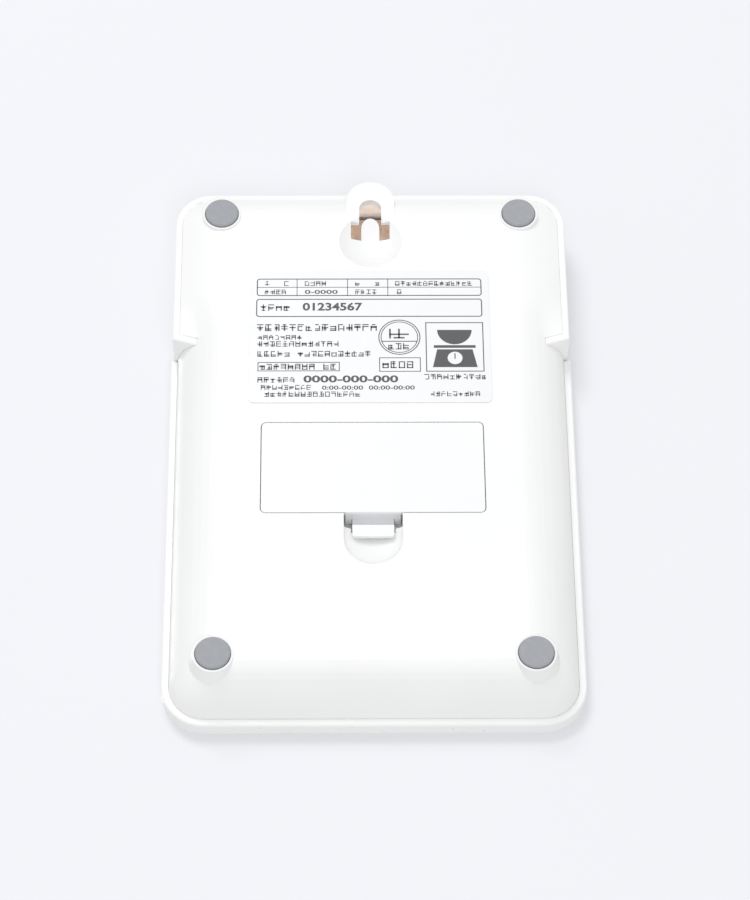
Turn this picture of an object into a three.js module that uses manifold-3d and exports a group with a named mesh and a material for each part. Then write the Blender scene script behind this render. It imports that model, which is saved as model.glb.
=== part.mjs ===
// Compact digital kitchen scale, standing on its feet as in use: +Z is up, the display end faces -Y
// and the weighing platform lies towards +Y. Millimetres. The origin is under the middle of the
// overall box, on the surface that the feet stand on.
import * as THREE from 'three';
import { mergeVertices } from 'three/addons/utils/BufferGeometryUtils.js';
import Module from 'manifold-3d';

const wasm = await Module();
wasm.setup();

// ---------------------------------------------------------------- driving dimensions
const HEIGHT = 21.0; // feet to platform face
const FRONT_Y = -82.95; // display end of the housing
const BACK_Y = 84.8; // far end of the platform
const GAP = 0.3; // clearance between neighbouring mouldings
const SEAM = 0.04; // closed joint lines that show on the outside

const HOUSING_HALF = 56.45; // half width of the display housing
const HOUSING_TOP = 20.3; // the housing's face sits a little below the platform's
const HOUSING_RIM_Z = 5.0; // lower edge of the housing's outer wall
const HOUSING_CORNER = 10.5;
const RIM = 1.95; // thickness of the housing's outer wall
const DECK_TOP = 17.1; // thin deck that carries on from the housing under the platform
const DECK_THICK = 1.2;

const DIVIDE_R = 185; // the housing's inner edge is an arc that bulges towards the platform
const DIVIDE_MID_Y = -23.55; // where that arc crosses the middle line
const DIVIDE_CENTRE_Y = DIVIDE_MID_Y - DIVIDE_R;
const FIN = 2.1; // thickness of the housing's cross wall along the arc

const PLATFORM_HALF = 57.4;
const PLATFORM_CORNER = 12;
const PLATFORM_PLATE = 2.0;
const SKIRT = 2.0;
const SKIRT_Z = 15.5; // lower edge of the platform's skirt
const PLATFORM_GAP = 0.4; // gap between the housing's cross wall and the platform
const PRESS_TRAVEL = 0.4; // how far the platform sinks under full load

const FLOOR_Z = 1.3; // flat underside of the lower case
const FLOOR = 1.6; // thickness of the lower case's floor
const CASE_WALL = 1.8;
const TUB_RISE = 14.3; // from the flat underside to the lower case's upper edge
const TUB_FLAT_HALF = 41.5; // half width of the flat underside
const TUB_SIDE_RUN = PLATFORM_HALF - SKIRT - SEAM - TUB_FLAT_HALF;
const TUB_BACK_FLAT = 72.45;
const TUB_BACK_RUN = BACK_Y - SKIRT - SEAM - TUB_BACK_FLAT;
const TUB_CORNER = 7; // corner radius of the flat underside
const TUB_FRONT_FLAT = -73.35;
const TUB_FRONT_RUN = 6.65;
const SIDE_BULGE = 1.7; // superellipse exponents of the side and back walls
const BACK_BULGE = 1.35;

const FOOT_X = 43;
const FOOT_FRONT_Y = -73.15;
const FOOT_BACK_Y = 70.65;
const FOOT_R = 4.72;
const FOOT_SLACK = 0.22; // room round a pad in its seat
const FOOT_PROUD = 0.85; // how far a pad stands out of its boss
const BOSS = { topR: 5.5, frontBaseR: 6.0, backBaseR: 6.9, z1: 6.5 };
const SCREW_POST = { r: 3.6, headBore: 2.9, shankBore: 1.45 };

const COVER = { half: 30.7, y0: -1.85, y1: 26.95, thick: 1.6, corner: 1.3 };
const BAY = { half: 27, y0: 1.0, y1: 24.9, top: 14.0, wall: 1.1 };
const CELL_R = 5.25; // AAA cell
const CELL_LENGTH = 44.5;
const CELL_Z = 8.45;
const CELL_Y = [7.9, 19.1];

const RECESS_HALF = 8.07; // finger recess beside the cover's latch
const RECESS_Y = 35.2;
const RECESS_DEPTH = 2.4;

const TAB_HALF = 6.95; // hanging tab
const TAB_END_Y = -BACK_Y;
const TAB_ROOT_Y = -60;
const TAB_THICK = 2.5;
const SLOT_HALF = 3.2;
const SLOT_END_Y = -78.35;
const WINDOW = { half: 5.6, y0: -70.8, y1: -66.0 }; // wide part of the hanging hole, inside the bowl
const TONGUE = { half: 2.6, tip: -72.1 }; // round-ended tongue that divides the window
const WINDOW_LIP = 3.3; // the wall beside the window is thinned down to this height
const BOWL_Y = -63.65;
const BOWL_R = 9.1;
const BOWL_DEPTH = 3.5;

const LABEL = { x0: -34.6, x1: 33.6, y0: -53.1, y1: -8.4, thick: 0.18, corner: 1.6 };

const LCD = { y: -60, halfX: 27, halfY: 12 };
const LENS = { halfX: 31, halfY: 14.5, thick: 0.9, corner: 2.5 };
const BUTTON = { x: 22, y: -39, halfX: 6.5, halfY: 3.6, travel: 0.4, proud: 0.4 };
const BOARD = { halfX: 38, y0: -79.3, y1: -33.5, z: 12.5, thick: 1.2 };

const LOADCELL = { half: 32, y: 43.3, halfY: 6.35, z0: 7.4, z1: 13.8 };
const PEDESTAL_X = [-33, -17]; // block under the fixed end of the load cell
const STOP_X = [21, 28]; // overload stop under its free end

// ---------------------------------------------------------------- materials
const paint = (color, roughness = 0.45, metalness = 0) =>
  new THREE.MeshStandardMaterial({ color, roughness, metalness });
const WHITE = paint('#f4f4f5', 0.4);
const COOL_WHITE = paint('#f1f3f6', 0.4);
const GREY_RUBBER = paint('#a9aaae', 0.85);
const STICKER = paint('#eeeef0', 0.5);
const ALLOY = paint('#c3c6ca', 0.35, 0.9);
const STEEL = paint('#b7bac0', 0.3, 1);
const SEALANT = paint('#f7f7f2', 0.6);
const BOARD_TAN = paint('#c0a184', 0.5);
const LCD_GLASS = paint('#9fa893', 0.1);
const LENS_CLEAR = paint('#3d4246', 0.08);
const DARK = paint('#2a2b2d', 0.6);
const CELL_JACKET = paint('#4a6f8f', 0.35, 0.2);
const RED_WIRE = paint('#b32622', 0.5);
const BLACK_WIRE = paint('#222224', 0.5);
const BUTTON_GREY = paint('#d7d9dc', 0.45);

// ---------------------------------------------------------------- solid helpers
function solid(geometry) {
  const plain = geometry.clone();
  plain.deleteAttribute('normal');
  plain.deleteAttribute('uv');
  const merged = mergeVertices(plain, 1e-4);
  return new wasm.Manifold(
    new wasm.Mesh({
      numProp: 3,
      vertProperties: new Float32Array(merged.attributes.position.array),
      triVerts: new Uint32Array(merged.index.array),
    }),
  );
}

function join(...solids) {
  return solids.reduce((sum, next) => sum.add(next));
}

function cut(body, ...tools) {
  return tools.reduce((rest, tool) => rest.subtract(tool), body);
}

function piece(name, body, material) {
  const { vertProperties, triVerts } = body.getMesh();
  const geometry = new THREE.BufferGeometry();
  geometry.setAttribute('position', new THREE.BufferAttribute(new Float32Array(vertProperties), 3));
  geometry.setIndex(new THREE.BufferAttribute(new Uint32Array(triVerts), 1));
  const mesh = new THREE.Mesh(geometry, material);
  mesh.name = name;
  return mesh;
}

function block(x0, x1, y0, y1, z0, z1) {
  const geometry = new THREE.BoxGeometry(x1 - x0, y1 - y0, z1 - z0);
  geometry.translate((x0 + x1) / 2, (y0 + y1) / 2, (z0 + z1) / 2);
  return solid(geometry);
}

// Upright cylinder or cone from z0 to z1.
function post(x, y, z0, z1, r0, r1 = r0, sides = 32) {
  const geometry = new THREE.CylinderGeometry(r1, r0, z1 - z0, sides);
  geometry.rotateX(Math.PI / 2);
  geometry.translate(x, y, (z0 + z1) / 2);
  return solid(geometry);
}

// Cylinder along X or Y.
function rodX(x0, x1, y, z, r, sides = 32) {
  const geometry = new THREE.CylinderGeometry(r, r, x1 - x0, sides);
  geometry.rotateZ(-Math.PI / 2);
  geometry.translate((x0 + x1) / 2, y, z);
  return solid(geometry);
}

function rodY(x, y0, y1, z, r, sides = 24) {
  const geometry = new THREE.CylinderGeometry(r, r, y1 - y0, sides);
  geometry.translate(x, (y0 + y1) / 2, z);
  return solid(geometry);
}

function plate(shape, z0, z1, curveSegments = 4) {
  const geometry = new THREE.ExtrudeGeometry(shape, { depth: z1 - z0, bevelEnabled: false, curveSegments });
  geometry.translate(0, 0, z0);
  return solid(geometry);
}

function roundedRect(x0, x1, y0, y1, r) {
  const shape = new THREE.Shape();
  shape.moveTo(x0 + r, y0);
  shape.lineTo(x1 - r, y0);
  shape.absarc(x1 - r, y0 + r, r, -Math.PI / 2, 0);
  shape.lineTo(x1, y1 - r);
  shape.absarc(x1 - r, y1 - r, r, 0, Math.PI / 2);
  shape.lineTo(x0 + r, y1);
  shape.absarc(x0 + r, y1 - r, r, Math.PI / 2, Math.PI);
  shape.lineTo(x0, y0 + r);
  shape.absarc(x0 + r, y0 + r, r, Math.PI, 1.5 * Math.PI);
  return shape;
}

// A strip with round ends along Y.
function obround(x, half, y0, y1) {
  const shape = new THREE.Shape();
  shape.absarc(x, y0 + half, half, Math.PI, 2 * Math.PI);
  shape.absarc(x, y1 - half, half, 0, Math.PI);
  shape.closePath();
  return shape;
}

// Skin over a stack of outlines that all have the same number of points.
function loft(rings) {
  const count = rings[0].points.length;
  const positions = [];
  const index = [];
  for (const { points, z } of rings) {
    for (const p of points) {
      positions.push(p.x, p.y, z);
    }
  }
  for (let level = 0; level < rings.length - 1; level += 1) {
    for (let i = 0; i < count; i += 1) {
      const a = level * count + i;
      const b = level * count + ((i + 1) % count);
      index.push(a, b, b + count, a, b + count, a + count);
    }
  }
  const caps = THREE.ShapeUtils.triangulateShape(rings[0].points, []);
  const topStart = (rings.length - 1) * count;
  const topCaps = THREE.ShapeUtils.triangulateShape(rings[rings.length - 1].points, []);
  for (const [a, b, c] of caps) {
    index.push(a, c, b);
  }
  for (const [a, b, c] of topCaps) {
    index.push(topStart + a, topStart + b, topStart + c);
  }
  const geometry = new THREE.BufferGeometry();
  geometry.setAttribute('position', new THREE.Float32BufferAttribute(positions, 3));
  geometry.setIndex(index);
  return solid(geometry);
}

function cornerArc(cx, cy, r, startQuarter, steps = 8) {
  const points = [];
  for (let i = 0; i <= steps; i += 1) {
    const angle = (startQuarter + i / steps) * (Math.PI / 2);
    points.push(new THREE.Vector2(cx + r * Math.cos(angle), cy + r * Math.sin(angle)));
  }
  return points;
}

// ---------------------------------------------------------------- outlines
const divideY = (x, radius) => DIVIDE_CENTRE_Y + Math.sqrt(radius * radius - x * x);

function dividePoints(half, radius, steps = 24) {
  const points = [];
  for (let i = 0; i <= steps; i += 1) {
    const x = half - (2 * half * i) / steps;
    points.push(new THREE.Vector2(x, divideY(x, radius)));
  }
  return points;
}

// The display housing seen from above, moved in by an inset all round.
function housingOutline(inset, frontInset = inset, finInset = inset) {
  const half = HOUSING_HALF - inset;
  const y = FRONT_Y + frontInset;
  const r = HOUSING_CORNER - inset;
  return [
    ...cornerArc(-half + r, y + r, r, 2),
    ...cornerArc(half - r, y + r, r, 3),
    ...dividePoints(half, DIVIDE_R - finInset),
  ];
}

// The platform seen from above, moved in by an inset all round.
function platformOutline(inset) {
  const half = PLATFORM_HALF - inset;
  const y = BACK_Y - inset;
  const r = PLATFORM_CORNER - inset;
  return [
    ...cornerArc(half - r, y - r, r, 0),
    ...cornerArc(-half + r, y - r, r, 1),
    ...dividePoints(half, DIVIDE_R + PLATFORM_GAP + inset).reverse(),
  ];
}

const prism = (points, z0, z1) => loft([{ points, z: z0 }, { points, z: z1 }]);

// ---------------------------------------------------------------- the lower case's tub
// Share of its run that a wall has covered at a given share of its rise.
const swell = (share, exponent) => (1 - (1 - share) ** exponent) ** (1 / exponent);

function tubOutline(share, inset) {
  const half = TUB_FLAT_HALF + TUB_SIDE_RUN * swell(share, SIDE_BULGE) - inset;
  const back = TUB_BACK_FLAT + TUB_BACK_RUN * swell(share, BACK_BULGE) - inset;
  const front = TUB_FRONT_FLAT - TUB_FRONT_RUN * swell(share, SIDE_BULGE) + inset;
  const r = TUB_CORNER + (PLATFORM_CORNER - SKIRT - SEAM - TUB_CORNER) * share - inset;
  return [
    ...cornerArc(half - r, back - r, r, 0),
    ...cornerArc(-half + r, back - r, r, 1),
    ...cornerArc(-half + r, front + r, r, 2),
    ...cornerArc(half - r, front + r, r, 3),
  ];
}

function tub(inset, lift, levels, extraTop = 0) {
  const rings = [];
  for (let i = 0; i <= levels; i += 1) {
    const share = 1 - Math.cos((i / levels) * (Math.PI / 2)) ** 1.2;
    rings.push({ points: tubOutline(share, inset), z: FLOOR_Z + lift + share * TUB_RISE });
  }
  if (extraTop > 0) {
    const top = rings[rings.length - 1];
    rings.push({ points: top.points, z: top.z + extraTop });
  }
  return loft(rings);
}

// Rise of the tub's side wall above the flat underside at a distance x from the middle line.
function tubRiseAt(x) {
  const u = Math.min(1, Math.max(0, (Math.abs(x) - TUB_FLAT_HALF) / TUB_SIDE_RUN));
  return TUB_RISE * (1 - (1 - u ** SIDE_BULGE) ** (1 / SIDE_BULGE));
}

const smooth = (t) => {
  const s = Math.min(1, Math.max(0, t));
  return s * s * (3 - 2 * s);
};

// Under the display the underside spreads out to meet the housing's rim. Next to the cross wall it
// takes the tub's own curve, up to the level of the rim.
const SHOULDER_DROP = HOUSING_RIM_Z - FLOOR_Z + 0.1;
const BLEND = 16;
function shoulderRise(x, y) {
  const side = Math.max(0, Math.abs(x) - TUB_FLAT_HALF) / (HOUSING_HALF - RIM - TUB_FLAT_HALF);
  const front = Math.max(0, TUB_FRONT_FLAT - y) / (TUB_FRONT_FLAT - FRONT_Y - RIM);
  const open = SHOULDER_DROP * side * side;
  const atWall = Math.min(tubRiseAt(x), HOUSING_RIM_Z - FLOOR_Z - 0.1);
  const away = smooth((divideY(x, DIVIDE_R) - FIN - y) / BLEND);
  return Math.min(SHOULDER_DROP, away * open + (1 - away) * atWall + SHOULDER_DROP * front * front);
}

function spread(from, to, steps) {
  return Array.from({ length: steps + 1 }, (_, i) => from + ((to - from) * i) / steps);
}

function shoulder(inset, lift, top) {
  const half = HOUSING_HALF - RIM - SEAM - inset;
  const finR = DIVIDE_R - FIN - SEAM - inset;
  const xs = [-1, 1].map((side) => spread(TUB_FLAT_HALF * side, HOUSING_HALF * side, 8));
  const columnXs = [...xs[0].reverse(), ...xs[1]];
  const yEnd = DIVIDE_MID_Y + 1;
  const rowYs = [
    ...spread(FRONT_Y - 1, TUB_FRONT_FLAT, 5),
    ...spread(TUB_FRONT_FLAT, -50, 3).slice(1),
    ...spread(-50, yEnd, 12).slice(1),
  ];
  const columns = columnXs.length - 1;
  const rows = rowYs.length - 1;
  const positions = [];
  const index = [];
  for (const y of rowYs) {
    for (const x of columnXs) {
      positions.push(x, y, FLOOR_Z + lift + Math.min(shoulderRise(x, y), top - FLOOR_Z - lift - 1));
    }
  }
  const layer = positions.length / 3;
  for (let k = 0; k < layer; k += 1) {
    positions.push(positions[3 * k], positions[3 * k + 1], top);
  }
  const at = (i, j) => j * (columns + 1) + i;
  for (let j = 0; j < rows; j += 1) {
    for (let i = 0; i < columns; i += 1) {
      const [a, b, c, d] = [at(i, j), at(i + 1, j), at(i + 1, j + 1), at(i, j + 1)];
      index.push(a, c, b, a, d, c);
      index.push(layer + a, layer + b, layer + c, layer + a, layer + c, layer + d);
    }
  }
  const skirtQuad = (p, q) => index.push(p, q, q + layer, p, q + layer, p + layer);
  for (let i = 0; i < columns; i += 1) {
    skirtQuad(at(i, 0), at(i + 1, 0));
    skirtQuad(at(i + 1, rows), at(i, rows));
  }
  for (let j = 0; j < rows; j += 1) {
    skirtQuad(at(columns, j), at(columns, j + 1));
    skirtQuad(at(0, j + 1), at(0, j));
  }
  const geometry = new THREE.BufferGeometry();
  geometry.setAttribute('position', new THREE.Float32BufferAttribute(positions, 3));
  geometry.setIndex(index);
  const r = HOUSING_CORNER - RIM - SEAM - inset;
  const y = FRONT_Y + RIM + SEAM + inset;
  const inside = [
    ...cornerArc(-half + r, y + r, r, 2),
    ...cornerArc(half - r, y + r, r, 3),
    ...dividePoints(half, finR),
  ];
  return solid(geometry).intersect(prism(inside, FLOOR_Z - 1, top + 1));
}

// ---------------------------------------------------------------- lower case
const FOOT_PLACES = [
  ['front_left', -FOOT_X, FOOT_FRONT_Y],
  ['front_right', FOOT_X, FOOT_FRONT_Y],
  ['back_left', -FOOT_X, FOOT_BACK_Y],
  ['back_right', FOOT_X, FOOT_BACK_Y],
];
const PAD_SEAT_Z = 2.0;
const SCREW_SEAT_Z = 3.8;
const CASE_POST_Z = 8.5;
const OVERLAP = 0.5; // how far joined solids run into each other

function tubShell() {
  const outer = join(cut(tub(0, 0, 10), trimZone(OVERLAP)), shoulder(0, 0, 9));
  const hollow = join(
    cut(tub(CASE_WALL, FLOOR, 6, 1), trimZone(CASE_WALL + 3)),
    shoulder(CASE_WALL, CASE_WALL, 10),
  );
  return cut(outer, hollow);
}

// The display zone pulled back towards the display end by a little.
function trimZone(back) {
  const wide = HOUSING_HALF + 5;
  return prism(
    [
      new THREE.Vector2(-wide, FRONT_Y - 10),
      new THREE.Vector2(wide, FRONT_Y - 10),
      ...dividePoints(wide, DIVIDE_R - FIN - GAP - back),
    ],
    -5,
    HEIGHT + 5,
  );
}

function footBosses() {
  const r = HOUSING_CORNER - RIM - SEAM;
  const insideHousing = prism(
    [
      ...cornerArc(-HOUSING_HALF + HOUSING_CORNER, FRONT_Y + HOUSING_CORNER, r, 2),
      ...cornerArc(HOUSING_HALF - HOUSING_CORNER, FRONT_Y + HOUSING_CORNER, r, 3),
      new THREE.Vector2(HOUSING_HALF - RIM - SEAM, BACK_Y),
      new THREE.Vector2(-HOUSING_HALF + RIM + SEAM, BACK_Y),
    ],
    -1,
    HEIGHT,
  );
  const bosses = FOOT_PLACES.map(([, x, y]) =>
    join(
      post(x, y, FOOT_PROUD, BOSS.z1, BOSS.topR, y < 0 ? BOSS.frontBaseR : BOSS.backBaseR, 36),
      post(x, y, SCREW_SEAT_Z + 0.2, CASE_POST_Z, SCREW_POST.r, SCREW_POST.r, 24),
    ),
  );
  return join(...bosses).intersect(insideHousing);
}

function footHoles() {
  return join(
    ...FOOT_PLACES.map(([, x, y]) =>
      join(
        post(x, y, -1, PAD_SEAT_Z, FOOT_R + FOOT_SLACK, FOOT_R + FOOT_SLACK, 36),
        post(x, y, 1, SCREW_SEAT_Z, SCREW_POST.headBore, SCREW_POST.headBore, 20),
        post(x, y, 1, HEIGHT, SCREW_POST.shankBore, SCREW_POST.shankBore, 16),
      ),
    ),
  );
}

function bowlSphere(extra) {
  const radius = (BOWL_R * BOWL_R + BOWL_DEPTH * BOWL_DEPTH) / (2 * BOWL_DEPTH);
  const geometry = new THREE.SphereGeometry(radius + extra, 36, 24);
  geometry.rotateX(Math.PI / 2);
  geometry.translate(0, BOWL_Y, FLOOR_Z + BOWL_DEPTH - radius);
  return solid(geometry);
}

// Slot, wide window and centre tongue of the hanging hole.
function hangingHole() {
  const [low, high] = [-1, 9];
  const slot = plate(obround(0, SLOT_HALF, SLOT_END_Y, WINDOW.y1), low, high, 8);
  const slotUpToWindow = cut(slot, block(-SLOT_HALF, SLOT_HALF, WINDOW.y0, WINDOW.y1 + 1, low - 1, high + 1));
  const window = block(-WINDOW.half, WINDOW.half, WINDOW.y0 - 0.01, WINDOW.y1, low, high);
  const tongue = plate(obround(0, TONGUE.half, TONGUE.tip, BOWL_Y), low - 1, high + 1, 8);
  const thinned = block(-WINDOW.half, WINDOW.half, WINDOW.y0 - 1.6, WINDOW.y0 + 0.01, WINDOW_LIP, high);
  return cut(join(slotUpToWindow, window, thinned), tongue);
}

// Dished finger recess: an elliptic trough that ends in a quarter ball.
function fingerDish(extra) {
  const ball = new THREE.SphereGeometry(1, 28, 16);
  ball.rotateX(Math.PI / 2);
  ball.scale(RECESS_HALF + extra, RECESS_HALF + extra, RECESS_DEPTH + extra);
  ball.translate(0, RECESS_Y, FLOOR_Z);
  const trough = new THREE.CylinderGeometry(1, 1, 6, 28);
  trough.scale(RECESS_HALF + extra, 1, RECESS_DEPTH + extra);
  trough.translate(0, RECESS_Y - 3, FLOOR_Z);
  return join(solid(ball), solid(trough));
}

const POCKET = { half: RECESS_HALF, y0: BAY.y1 + BAY.wall, y1: 31.3, top: 8.0, wall: 1.1 };
const NOTCH = { half: 6.1, y1: 32.6 }; // room for the latch's outer leg in the pocket's far wall
const HOOK_X = [-20, 20]; // hooks on the cover's hinged edge
const HOOK_HALF = 3;
const LEDGE = { side: 2.3, hinge: 2.5, top: 4.6 }; // rim that the cover rests on
const INSIDE_Z = 2.0; // walls inside the lower case start in its floor, at this level
const TAG_Z = 12;
const CELL_SCREW_X = [-28, -21];

function batteryWalls() {
  return join(
    block(
      -COVER.half - LEDGE.side,
      COVER.half + LEDGE.side,
      COVER.y0 - LEDGE.hinge,
      COVER.y1 + LEDGE.side,
      INSIDE_Z,
      LEDGE.top,
    ),
    block(
      -BAY.half - BAY.wall,
      BAY.half + BAY.wall,
      BAY.y0 - BAY.wall,
      BAY.y1 + BAY.wall,
      INSIDE_Z,
      BAY.top + BAY.wall,
    ),
    block(
      -POCKET.half - POCKET.wall,
      POCKET.half + POCKET.wall,
      POCKET.y0 - 0.2,
      POCKET.y1 + POCKET.wall,
      INSIDE_Z,
      POCKET.top + POCKET.wall,
    ),
    block(
      -NOTCH.half - POCKET.wall,
      NOTCH.half + POCKET.wall,
      POCKET.y1,
      NOTCH.y1 + POCKET.wall,
      INSIDE_Z,
      POCKET.top + POCKET.wall,
    ),
  );
}

function batteryHollows() {
  const hookHalf = HOOK_HALF + 0.4;
  const hookLow = FLOOR_Z + COVER.thick + 0.05;
  const hooks = HOOK_X.map((x) =>
    block(x - hookHalf, x + hookHalf, COVER.y0 - 2.1, BAY.y0 + 0.2, hookLow, LEDGE.top + 1),
  );
  const tags = CELL_Y.map((y) =>
    block(BAY.half - 1, BAY.half + 3, y - 0.9, y + 0.9, TAG_Z - 0.6, TAG_Z + 0.6),
  );
  return join(
    plate(
      roundedRect(
        -COVER.half - GAP,
        COVER.half + GAP,
        COVER.y0 - GAP,
        COVER.y1 + GAP,
        COVER.corner + GAP,
      ),
      0,
      FLOOR_Z + COVER.thick + 0.1,
    ),
    block(-BAY.half, BAY.half, BAY.y0, BAY.y1, 0, BAY.top),
    block(-POCKET.half, POCKET.half, POCKET.y0, POCKET.y1, 0, POCKET.top),
    block(-NOTCH.half, NOTCH.half, POCKET.y1 - OVERLAP, NOTCH.y1, 0, POCKET.top),
    ...hooks,
    ...tags,
  );
}

function lowerCase() {
  const above = block(-PLATFORM_HALF, PLATFORM_HALF, -BACK_Y, BACK_Y, FLOOR_Z, HEIGHT);
  const tab = plate(obround(0, TAB_HALF, TAB_END_Y, TAB_ROOT_Y), FLOOR_Z, FLOOR_Z + TAB_THICK, 12);
  const bowlShell = bowlSphere(CASE_WALL).intersect(above);
  const dishShell = fingerDish(FLOOR).intersect(above);
  const { y, halfY, z0 } = LOADCELL;
  const pedestal = block(...PEDESTAL_X, y - halfY, y + halfY, INSIDE_Z, z0 - 0.05);
  const overloadStop = block(...STOP_X, y - 2.5, y + 2.5, INSIDE_Z, z0 - PRESS_TRAVEL - 0.2);
  const pedestalHoles = CELL_SCREW_X.map((x) => post(x, y, 3.6, z0 + 1, 1.25, 1.25, 20));
  return cut(
    join(tubShell(), footBosses(), batteryWalls(), tab, bowlShell, dishShell, pedestal, overloadStop),
    footHoles(),
    batteryHollows(),
    bowlSphere(0),
    fingerDish(0),
    hangingHole(),
    ...pedestalHoles,
  );
}

// ---------------------------------------------------------------- display housing and deck
const HOUSING_ROOF = 1.7;
const ROOF_UNDER = HOUSING_TOP - HOUSING_ROOF;
const DECK_UNDER = DECK_TOP - DECK_THICK;
const DECK_INSET = 1.0; // room between the deck's edge and the platform's skirt
const DECK_HALF = PLATFORM_HALF - SKIRT - DECK_INSET;
const DECK_BACK = BACK_Y - SKIRT - DECK_INSET;
const DECK_CORNER = 9.2;
const LENS_SEAT = HOUSING_TOP - LENS.thick - 0.05;
const BOARD_SCREWS = [
  [-35, -72],
  [35, -72],
  [-35, -36.5],
  [35, -36.5],
];
const DECK_HOLE = { x0: 14.5, x1: 34.5, y0: 35, y1: 51.6 };
const LENS_HOLE = { halfX: 26, halfY: 11, corner: 1 };
const LENS_SLACK = 0.15;

// Outlines stacked so that the upper outer edge is rounded and the lower one slightly eased.
function roundedStack(outline, zLow, zHigh, lowEase, edge) {
  const steps = 4;
  const rings = [
    { points: outline(lowEase), z: zLow },
    { points: outline(0), z: zLow + lowEase },
  ];
  for (let i = 0; i <= steps; i += 1) {
    const angle = ((i / steps) * Math.PI) / 2;
    rings.push({
      points: outline(edge * (1 - Math.cos(angle))),
      z: zHigh - edge * (1 - Math.sin(angle)),
    });
  }
  return loft(rings);
}

function deckOutline(grow, dividerRadius) {
  const half = DECK_HALF + grow;
  const r = DECK_CORNER + grow;
  const y = DECK_BACK + grow;
  return [
    ...cornerArc(half - r, y - r, r, 0),
    ...cornerArc(-half + r, y - r, r, 1),
    ...dividePoints(half, dividerRadius).reverse(),
  ];
}

function buttonOutline(x, grow) {
  return roundedRect(
    x - BUTTON.halfX - grow,
    x + BUTTON.halfX + grow,
    BUTTON.y - BUTTON.halfY - grow,
    BUTTON.y + BUTTON.halfY + grow,
    BUTTON.halfY + grow - 0.1,
  );
}

function displayHousing() {
  const shell = cut(
    roundedStack((inset) => housingOutline(inset), HOUSING_RIM_Z, HOUSING_TOP, 0.3, 1.3),
    prism(housingOutline(RIM, RIM, FIN), HOUSING_RIM_Z - 1, ROOF_UNDER),
  );
  const deck = prism(deckOutline(0, DIVIDE_R - 1), DECK_UNDER, DECK_TOP);
  const caseScrewPosts = FOOT_PLACES.map(([, x, y]) =>
    post(x, y, CASE_POST_Z + GAP, (y < 0 ? ROOF_UNDER : DECK_UNDER) + 0.3, 3.2, 3.2, 20),
  );
  const boardPosts = BOARD_SCREWS.map(([x, y]) =>
    post(x, y, BOARD.z + BOARD.thick + 0.05, ROOF_UNDER + 0.3, 2.4, 2.4, 16),
  );
  const caseScrewHoles = FOOT_PLACES.map(([, x, y]) => post(x, y, CASE_POST_Z, 14.5, 1.3, 1.3, 20));
  const boardHoles = BOARD_SCREWS.map(([x, y]) => post(x, y, BOARD.z, 17, 1.05, 1.05, 20));
  const tubClearance = cut(tub(-SEAM, -SEAM, 10, 2 * GAP), trimZone(OVERLAP + GAP));
  const lensSeat = plate(
    roundedRect(
      -LENS.halfX - LENS_SLACK,
      LENS.halfX + LENS_SLACK,
      LCD.y - LENS.halfY - LENS_SLACK,
      LCD.y + LENS.halfY + LENS_SLACK,
      LENS.corner + LENS_SLACK,
    ),
    LENS_SEAT,
    HEIGHT,
  );
  const { halfX, halfY, corner } = LENS_HOLE;
  const lensHole = plate(
    roundedRect(-halfX, halfX, LCD.y - halfY, LCD.y + halfY, corner),
    ROOF_UNDER - 1,
    HEIGHT,
  );
  const buttonHoles = [-BUTTON.x, BUTTON.x].map((x) => plate(buttonOutline(x, GAP), ROOF_UNDER - 1, HEIGHT));
  const { x0, x1, y0, y1 } = DECK_HOLE;
  const deckHole = block(x0, x1, y0, y1, DECK_UNDER - 1, DECK_TOP + 1);
  return cut(
    join(cut(shell, tubClearance), deck, ...caseScrewPosts, ...boardPosts),
    ...caseScrewHoles,
    ...boardHoles,
    lensSeat,
    lensHole,
    ...buttonHoles,
    deckHole,
  );
}

// ---------------------------------------------------------------- platform and its support
const PLATE_UNDER = HEIGHT - PLATFORM_PLATE;
const SUPPORT = { z0: DECK_TOP + 0.6, thick: 1.0, barX: 34, endX: 40, y0: -5, y1: 75, crossHalf: 7 };
const SPACER = { x0: 17, x1: 32, halfY: 5.8 }; // raised pad between the load cell and the cross bar
const PIN_R = 1.5;
const PIN_PLACES = [
  [-37, 0],
  [37, 0],
  [-37, 70],
  [37, 70],
];
const SUPPORT_SCREW_X = [21, 28];
const SUPPORT_HEAD_Z = 17.05;

function platform() {
  const tray = cut(
    roundedStack(platformOutline, SKIRT_Z, HEIGHT, 0.4, 1.2),
    prism(platformOutline(SKIRT), SKIRT_Z - 1, PLATE_UNDER),
    prism(deckOutline(DECK_INSET, DIVIDE_R - 1), SKIRT_Z - 1, DECK_TOP + PRESS_TRAVEL + 0.2),
  );
  const pins = PIN_PLACES.map(([x, y]) => post(x, y, SUPPORT.z0, PLATE_UNDER + 0.3, PIN_R, PIN_R, 20));
  return join(tray, ...pins);
}

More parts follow.
